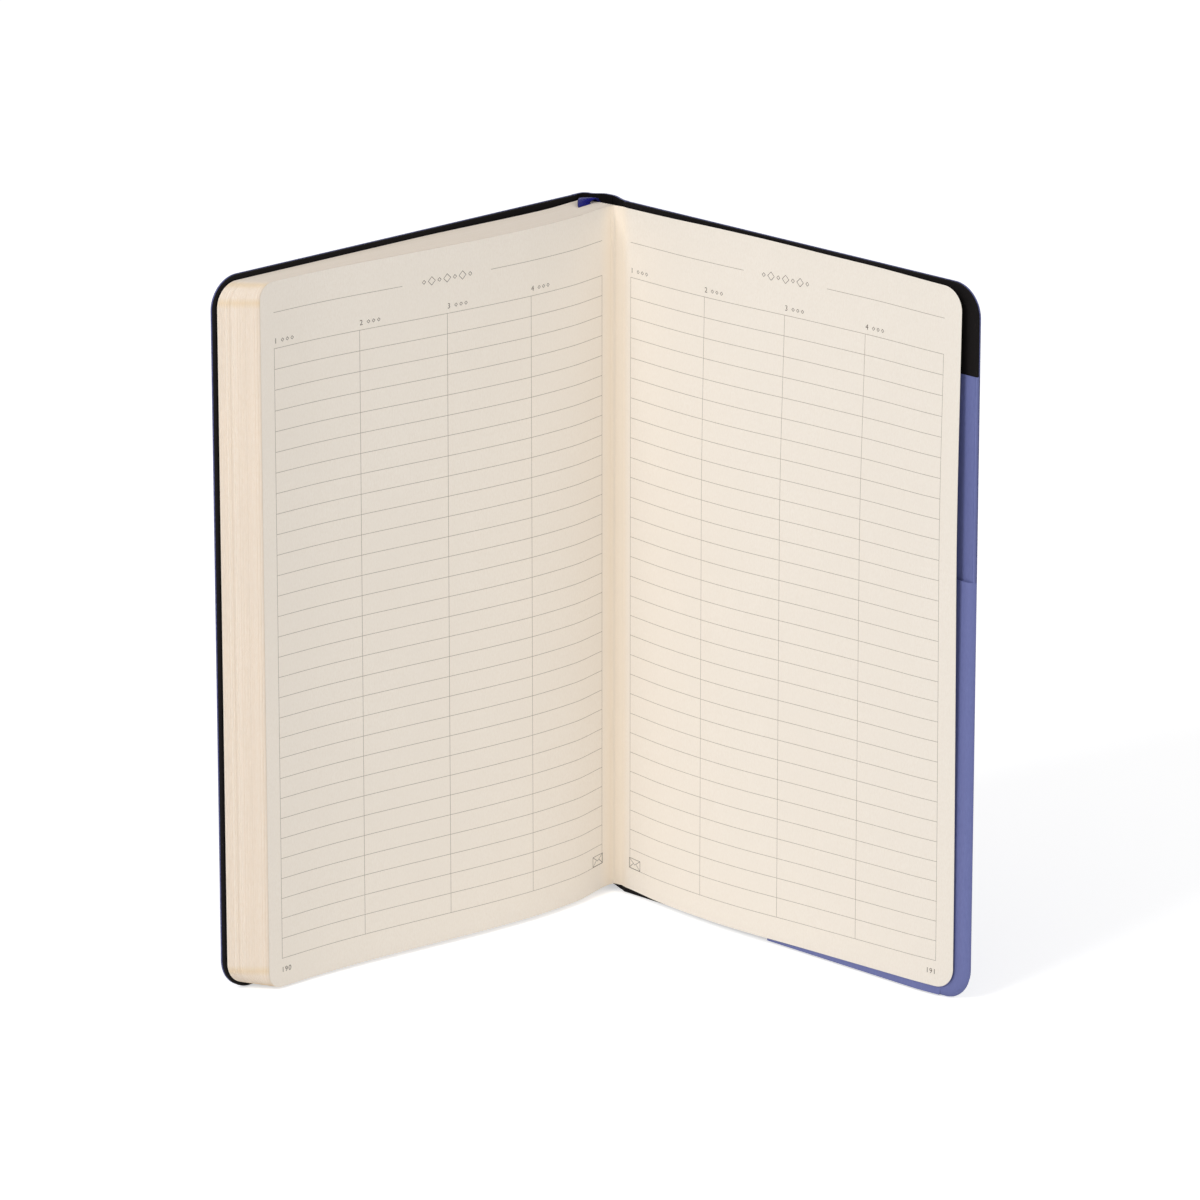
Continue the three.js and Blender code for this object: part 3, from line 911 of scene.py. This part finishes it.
def right_head(u):
    """The head of the right page climbs from the fold and settles a little past the bow."""
    climb = HEAD_CLIMB * smooth(u, LAST_LEAF_FOLD, HEAD_TOP)
    return LAST_LEAF_HEAD + HEAD_RISE + climb - HEAD_RISE * smooth(u, HEAD_FALLS, HEAD_SETTLED)


LEFT_START = fold_start(1) - 0.1
left_page = Page(front, LEFT_START, fore_edge(1), LEAF_FOOT, lambda u: LEAF_HEAD, OPEN_LEAF_CORNER,
                 left_depth, lambda u: leaf_foot(1, u) - LEAF_FOOT, 4.15, (-0.1, 0.6))
right_page = Page(back, LAST_LEAF_START, LAST_LEAF_END, LAST_LEAF_FOOT, right_head, LAST_LEAF_CORNER,
                  right_depth, right_rise, 5.4, (-0.15, 0.85))


def gutter():
    """The fold between the open pages: glued on the left one, and bending into the right one's root."""
    def plan(side, u, w):
        return side.origin + side.along * u + side.inward * w

    def on_left(beyond, proud):
        return plan(front, LEFT_START + beyond, left_depth(LEFT_START + beyond, 90) + proud)

    over, root = on_left(-0.05, 0.13), plan(back, LAST_LEAF_START, right_depth(LAST_LEAF_START, 90))
    path = [on_left(1.3, 0.07), on_left(0.3, 0.08), over]
    path += [mix(over, root, t) for t in (0.2, 0.4, 0.6, 0.8, 1)]
    steps = len(path) - 1

    def place(s, t):
        spot = path[round(s * steps)]
        return Vector((spot.x, spot.y, mix(LEAF_FOOT + 0.75, right_head(LAST_LEAF_START), t))) * MM

    piece = sheet("gutter_fold", steps, 30, place, LEAF)
    finish_mesh(piece, 80)
    # The fold's material carries the painted highlight of the bent paper.
    dress(piece, "highlit_fold_paper", "page_paper")
    place(path.index(over) / steps, 0.5)
    place(1, 0.5)
    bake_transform(piece)


# Print that a rule can't give: figures, ornament and pictogram

def figure(text, page, across, up, mirrored):
    """Figures set in the built-in face, laid on the page with their left end at a place."""
    bpy.ops.object.select_all(action="DESELECT")
    bpy.ops.object.text_add()
    holder = bpy.context.object
    holder.data.body = text
    holder.data.size = FIGURE_SIZE
    holder.data.space_character = FIGURE_SPACING
    holder.data.resolution_u = 3
    bpy.ops.object.convert(target="MESH")
    piece = bpy.context.object
    for vertex in piece.data.vertices:
        x = across - vertex.co.x if mirrored else across + vertex.co.x
        vertex.co = page.printed(x, up + vertex.co.y)
    return piece


def stroke(page, a, b):
    """A short printed line between two places on a page."""
    (ax, ay), (bx, by) = a, b
    length = math.dist(a, b)
    nx, ny = -(by - ay) / length * RULE_WIDTH / 2, (bx - ax) / length * RULE_WIDTH / 2
    steps = max(int(length / 1.5), 1)

    def place(s, t):
        x, y = mix(ax, bx, s), mix(ay, by, s)
        side = mix(-1, 1, t)
        return page.printed(x + nx * side, y + ny * side)

    return sheet("stroke", steps, 1, place, 0)


def diamond(page, across, up, size):
    corners = [(across + size, up), (across, up + size), (across - size, up), (across, up - size)]
    return [stroke(page, corners[i], corners[(i + 1) % 4]) for i in range(4)]


def envelope(page, across, up):
    """A plain outlined envelope with its flap and its two lower folds."""
    width, height = ENVELOPE_WIDTH, ENVELOPE_HEIGHT
    corners = [(across, up), (across + width, up), (across + width, up + height), (across, up + height)]
    flap = (across + width / 2, up + height * 0.42)
    parts = [stroke(page, corners[i], corners[(i + 1) % 4]) for i in range(4)]
    parts += [stroke(page, corners[3], flap), stroke(page, flap, corners[2])]
    return parts + [stroke(page, corners[i], (mix(corners[i][0], flap[0], 0.7), up + height * 0.5))
                    for i in (0, 1)]


def face_reader(piece, page):
    """Turns over every face that looks into the paper."""
    toward = Vector((*page.side.inward, 0))
    only(piece)
    bpy.ops.object.mode_set(mode="EDIT")
    bpy.ops.mesh.select_mode(type="FACE")
    bpy.ops.mesh.select_all(action="DESELECT")
    mesh = bmesh.from_edit_mesh(piece.data)
    for face in mesh.faces:
        face.select_set(face.normal.dot(toward) < 0)
    bmesh.update_edit_mesh(piece.data)
    bpy.ops.mesh.flip_normals()
    bpy.ops.object.mode_set(mode="OBJECT")


def print_on(page, name, body, fore_edge_on_left, page_number):
    """Everything printed on a page besides its rules. Figures read from left to right."""
    parts = []
    for i in range(COLUMNS):
        column = i if fore_edge_on_left else COLUMNS - i
        across = column * COLUMN_WIDTH
        parts.append(figure(f"{i + 1}", page, across, TABLE_HEAD + HEADING_LIFT, not fore_edge_on_left))
        for k in range(3):
            beside = HEADING_MARK_START + k * HEADING_MARK_PITCH
            parts += diamond(page, across + beside * (1 if fore_edge_on_left else -1),
                             TABLE_HEAD + HEADING_MARK_LIFT, HEADING_MARK)
    middle = TABLE_WIDTH / 2
    for i in range(-3, 4):
        size = ORNAMENT if i % 2 == 0 else ORNAMENT_SMALL
        parts += diamond(page, middle + i * ORNAMENT_PITCH, TABLE_HEAD + TITLE_RULE, size)
    number_at = LEFT_PAGE_NUMBER if fore_edge_on_left else RIGHT_PAGE_NUMBER
    parts.append(figure(page_number, page, number_at, PAGE_NUMBER_FOOT, not fore_edge_on_left))
    parts += envelope(page, *ENVELOPE_PLACE)
    piece = joined(name, parts)
    face_reader(piece, page)
    carry(piece, "page_ink", "page_paper", body, angle=None)


# Pocket

def pocket_settling(u):
    """The pocket's share of its full depth: its outer side lies pressed down along the cover's edge."""
    return mix(1, 0.42, smooth(u, 104, COVER_WIDTH - POCKET_WRAP))


def pocket_panel(name, height, low, bulge, inset, node):
    """A sheet with the cover's rounded corner at its foot, bowing out a little at its mouth."""
    end, radius = COVER_WIDTH - inset, COVER_CORNER - inset

    def place(s, t):
        u = mix(POCKET_SIDE, end, eased(s, 0.25, end - POCKET_SIDE, radius))
        foot = (inset if u > end - radius + 0.001 else POCKET_INSET) + corner_inset(end - u, radius)
        z = mix(foot, height, t)
        bow = bulge * math.sin(math.pi * s) * smooth(z, height * 0.4, height)
        depth = POCKET_PAPER / 2 + (low - POCKET_LOW) * pocket_settling(u) - bow
        return back.point(u, POCKET_LOW + depth, z)

    piece = sheet(name, 48, 40, place, POCKET_PAPER)
    carry(piece, "pocket_paper", "pocket_paper", "back_cover", node)


def gusset(name, place_fold, node):
    """A strip folded inward between the two panels, with a rounded fold."""
    clear = POCKET_PAPER * 1.5 + 0.03
    low, high = clear, POCKET_DEPTH - clear
    middle = (low + high) / 2
    depth, fold = 6.0, 0.25

    def profile(s):
        if abs(s - 0.5) < 0.1:
            a = (s - 0.5) / 0.1 * math.pi / 2
            return depth - fold + fold * math.cos(a), middle + fold * math.sin(a)
        side = -1 if s < 0.5 else 1
        run = 1 - (abs(s - 0.5) - 0.1) / 0.4
        end = high if side > 0 else low
        return mix(0, depth - fold, smooth(run, -0.3, 1.0)), mix(end, middle + side * fold, run)

    def place(s, t):
        u, w, z = place_fold(*profile(s), t)
        return back.point(u, POCKET_LOW + w * pocket_settling(u), z)

    piece = sheet(name, 40, 24, place, POCKET_PAPER)
    carry(piece, "pocket_paper", "pocket_paper", "back_cover", node)


def edge_strip(section, lead, height):
    """A strip along the back cover's rounded foot corner and up its fore-edge. It begins at the sheet's
    foot and comes down to the cover's within 2 mm. section(s, u) gives an inset from the cover's edge
    and a depth, with u where the strip's inner side lies."""
    arc = COVER_CORNER * math.pi / 2
    length = lead + arc + height - COVER_CORNER

    def at(inset, run):
        reach, corner = COVER_CORNER - inset, COVER_WIDTH - COVER_CORNER
        a = min(max(run / COVER_CORNER, 0), math.pi / 2)
        u = corner + min(run, 0) + reach * math.sin(a)
        lowest = mix(POCKET_INSET, 0.02, smooth(run, -lead, 2 - lead))
        return u, max(COVER_CORNER + max(run - arc, 0) - reach * math.cos(a), lowest)

    def place(s, t):
        run = t * length - lead
        inset, w = section(s, at(section(0, 0)[0], run)[0])
        u, z = at(inset, run)
        return back.point(u, w, z)

    return place


def pocket_hem():
    """The back sheet's margin, turned round the cover's fore-edge from the foot to the sheet's head."""
    section = [(POCKET_INSET + 0.3, POCKET_LOW + 0.06), (-0.04, POCKET_LOW + 0.06), (-0.1, POCKET_LOW),
               (-0.1, 1.0), (-0.1, 0.74)]
    place = edge_strip(lambda s, u: section[round(s * (len(section) - 1))], 14, POCKET_BACK_HEIGHT)
    piece = sheet("pocket_hem", len(section) - 1, 90, place, 0.1)
    carry(piece, "pocket_paper", "pocket_paper", "back_cover")


def pocket_wrap():
    """The front sheet's outer margin, rounded over the pocket's side and round the cover's edge."""
    section = [(POCKET_WRAP, 0), (2.2, 0.0), (1.4, 0.04), (0.8, 0.14), (0.3, 0.32), (-0.05, 0.56),
               (-0.26, 0.8), (-0.34, 1)]

    def profile(s, u):
        inset, share = section[round(s * (len(section) - 1))]
        top = POCKET_LOW + POCKET_PAPER / 2 + (POCKET_DEPTH - POCKET_PAPER) * pocket_settling(u)
        return inset, mix(top, 0.75, share)

    piece = sheet("pocket_wrap", len(section) - 1, 90, edge_strip(profile, 0.8, POCKET_MOUTH),
                  POCKET_PAPER)
    carry(piece, "pocket_paper", "pocket_paper", "back_cover", angle=60)


def pocket():
    """Two sheets, three folded sides, and the margins turned round the cover's edge."""
    end = COVER_WIDTH - POCKET_INSET
    pocket_panel("pocket_back_sheet", POCKET_BACK_HEIGHT, POCKET_LOW, 0, POCKET_INSET, "pocket_back")
    pocket_panel("pocket_front_sheet", POCKET_MOUTH, POCKET_LOW + POCKET_DEPTH - POCKET_PAPER, 0.35,
                 POCKET_WRAP, "pocket_front")
    gusset("pocket_inner_fold", lambda inset, w, t: (
        POCKET_SIDE + 0.1 + inset, w, mix(POCKET_INSET, POCKET_MOUTH, t)), "pocket_gusset_inner")
    gusset("pocket_outer_fold", lambda inset, w, t: (
        end - 1.6 - inset, w, mix(14, POCKET_MOUTH, t)), "pocket_gusset_outer")
    gusset("pocket_foot_fold", lambda inset, w, t: (
        mix(62.3, end - 14, t), w, POCKET_INSET + 0.1 + inset), "pocket_gusset_foot")
    pocket_hem()
    pocket_wrap()


# Ribbon

def from_spine(along, depth):
    """A place along the spine and a depth below its outer face, in the front cover's u and w."""
    c, s = math.cos(FRONT_TURN), math.sin(FRONT_TURN)
    return Vector((s * depth - c * along, s * along + c * depth))


def ribbon_stations():
    """Left edge, right edge and upper side: up the back of the block, over its head with a flat
    quarter turn, then down between two signatures."""
    half, head_radius, entry_radius = RIBBON_WIDTH / 2, 0.75, 0.3
    across, inward = from_spine(1, 0), from_spine(0, 1)
    top = LEAF_HEAD + entry_radius
    steps = 8
    stations = []

    def level(centre, turn, z, normal):
        aside = (across * math.cos(turn) - inward * math.sin(turn)) * half
        stations.append(((*(centre - aside), z), (*(centre + aside), z), normal))

    def hang(u, side, z, normal):
        left, right = ((edge, leaf_depth(0.5, edge) + side, z) for edge in (u + half, u - half))
        stations.append((left, right, normal))

    for i in range(steps):
        z = mix(LEAF_HEAD - RIBBON_GLUED, top - head_radius, i / steps)
        level(from_spine(RIBBON_CENTRE, RIBBON_BACK), 0, z, (*-inward, 0))
    for i in range(steps):
        a = i / steps * math.pi / 2
        centre = from_spine(RIBBON_CENTRE, RIBBON_BACK + head_radius * (1 - math.cos(a)))
        level(centre, 0, top - head_radius * (1 - math.sin(a)),
              (*(-inward * math.cos(a)), math.sin(a)))
    over_head = from_spine(RIBBON_CENTRE, RIBBON_BACK + head_radius)
    entry = Vector((RIBBON_ENTRY, leaf_depth(0.5, RIBBON_ENTRY) - entry_radius))
    for i in range(2 * steps):
        t = i / (2 * steps)
        level(mix(over_head, entry, t), t * math.pi / 2, top + RIBBON_ARCH * math.sin(t * math.pi),
              (0, 0, 1))
    for i in range(steps + 1):
        a = i / steps * math.pi / 2
        hang(RIBBON_ENTRY, entry_radius * (math.sin(a) - 1), LEAF_HEAD + entry_radius * math.cos(a),
             (0, math.sin(a), math.cos(a)))
    for i in range(1, 2 * steps + 1):
        t = i / (2 * steps)
        hang(RIBBON_ENTRY + RIBBON_SLANT * t, 0, mix(LEAF_HEAD, RIBBON_TAIL, t), (0, 1, 0))
    return stations


def ribbon():
    """The bookmark, a little arched where it lies over the block's head."""
    stations = ribbon_stations()
    crown = 0.16

    def place(s, t):
        left, right, normal = stations[round(t * (len(stations) - 1))]
        arched = crown * (1 - (2 * s - 1) ** 2) * (1 if normal[2] > 0.5 else 0)
        return front.point(*(mix(a, b, s) + arched * n for a, b, n in zip(left, right, normal)))

    piece = sheet("ribbon", 12, len(stations) - 1, place, RIBBON * 0.8, lambda s, t: (s, t))
    carry(piece, "ribbon", "ribbon", "block", "ribbon_bookmark", 60)


# Camera, floor and light

def camera():
    data = bpy.data.cameras.new("camera")
    data.sensor_width = 36
    data.lens = FOCAL_PIXELS / IMAGE_WIDTH * data.sensor_width
    data.clip_end = 100
    holder = bpy.data.objects.new("camera", data)
    bpy.context.collection.objects.link(holder)
    holder.location = Vector(CAMERA_PLACE) * MM
    holder.rotation_euler = (math.pi / 2 - CAMERA_PITCH, 0, 0)
    bpy.context.scene.camera = holder


def floor():
    """White to the camera, with the object's shadow on it."""
    bpy.ops.object.select_all(action="DESELECT")
    bpy.ops.mesh.primitive_plane_add(size=12, location=(0, 0, -0.0002))
    ground = bpy.context.object
    ground.name = "floor"
    finish = Finish("floor", base_color=(0.9, 0.9, 0.9), roughness=0.9, specular=0.0)
    path = finish.tree.nodes.new("ShaderNodeLightPath")
    camera_ray, glossy, transmitted = (Value(finish, path.outputs[ray]) for ray in SEEN_BY)
    seen = camera_ray.math("MAXIMUM", glossy).math("MAXIMUM", transmitted)
    finish.set(emission_color=finish.between(seen, (0, 0, 0), FLOOR_GLOW), emission_strength=1.0)
    ground.data.materials.append(finish.material)


def lamp(name, place, size, power):
    """A round soft lamp, aimed at the middle of the book."""
    data = bpy.data.lights.new(name, "AREA")
    data.shape, data.size, data.energy = "DISK", size, power
    holder = bpy.data.objects.new(name, data)
    bpy.context.collection.objects.link(holder)
    holder.location = place
    holder.rotation_euler = (Vector(LAMP_TARGET) - Vector(place)).to_track_quat("-Z", "Y").to_euler()


def world():
    """White where it is seen, and a dimmer white as light."""
    surroundings = bpy.data.worlds.new("studio")
    bpy.context.scene.world = surroundings
    surroundings.use_nodes = True
    tree = surroundings.node_tree
    plain = tree.nodes["Background"]
    plain.inputs[0].default_value = (1, 1, 1, 1)
    plain.inputs[1].default_value = SKY
    white = tree.nodes.new("ShaderNodeBackground")
    white.inputs[0].default_value = (1, 1, 1, 1)
    white.inputs[1].default_value = 1.0
    path = tree.nodes.new("ShaderNodeLightPath")
    blend = tree.nodes.new("ShaderNodeMixShader")
    seen = path.outputs[SEEN_BY[0]]
    for ray in SEEN_BY[1:]:
        either = tree.nodes.new("ShaderNodeMath")
        either.operation = "MAXIMUM"
        tree.links.new(seen, either.inputs[0])
        tree.links.new(path.outputs[ray], either.inputs[1])
        seen = either.outputs[0]
    tree.links.new(seen, blend.inputs[0])
    tree.links.new(plain.outputs[0], blend.inputs[1])
    tree.links.new(white.outputs[0], blend.inputs[2])
    tree.links.new(blend.outputs[0], tree.nodes["World Output"].inputs[0])


bpy.context.scene.view_settings.view_transform = "Standard"
camera()
floor()
world()
lamp("key", (-1.55, -1.6, 1.6), 1.0, 29)
lamp("fill", (1.5, -1.7, 1.2), 1.8, 14)

cover("front_cover", front, FRONT_START)
cover("back_cover", back, BACK_START)
crease("front", front, FRONT_TURN, FRONT_CREASE_RADIUS, FRONT_START)
crease("back", back, BACK_TURN, BACK_CREASE_RADIUS, BACK_START, spine_bow)
spine_pieces()
flyleaf()
for number in range(SIGNATURES):
    signature(number)
left_page.piece("left_page", "block", "left_leaf")
right_page.piece("right_page", "right_leaf", "right_leaf")
gutter()
print_on(left_page, "left_page_print", "block", True, "190")
print_on(right_page, "right_page_print", "right_leaf", False, "191")
pocket()
ribbon()
for slot in frame["nodes"]["spine_mull"].material_slots:
    slot.material = FINISHES["mull"]
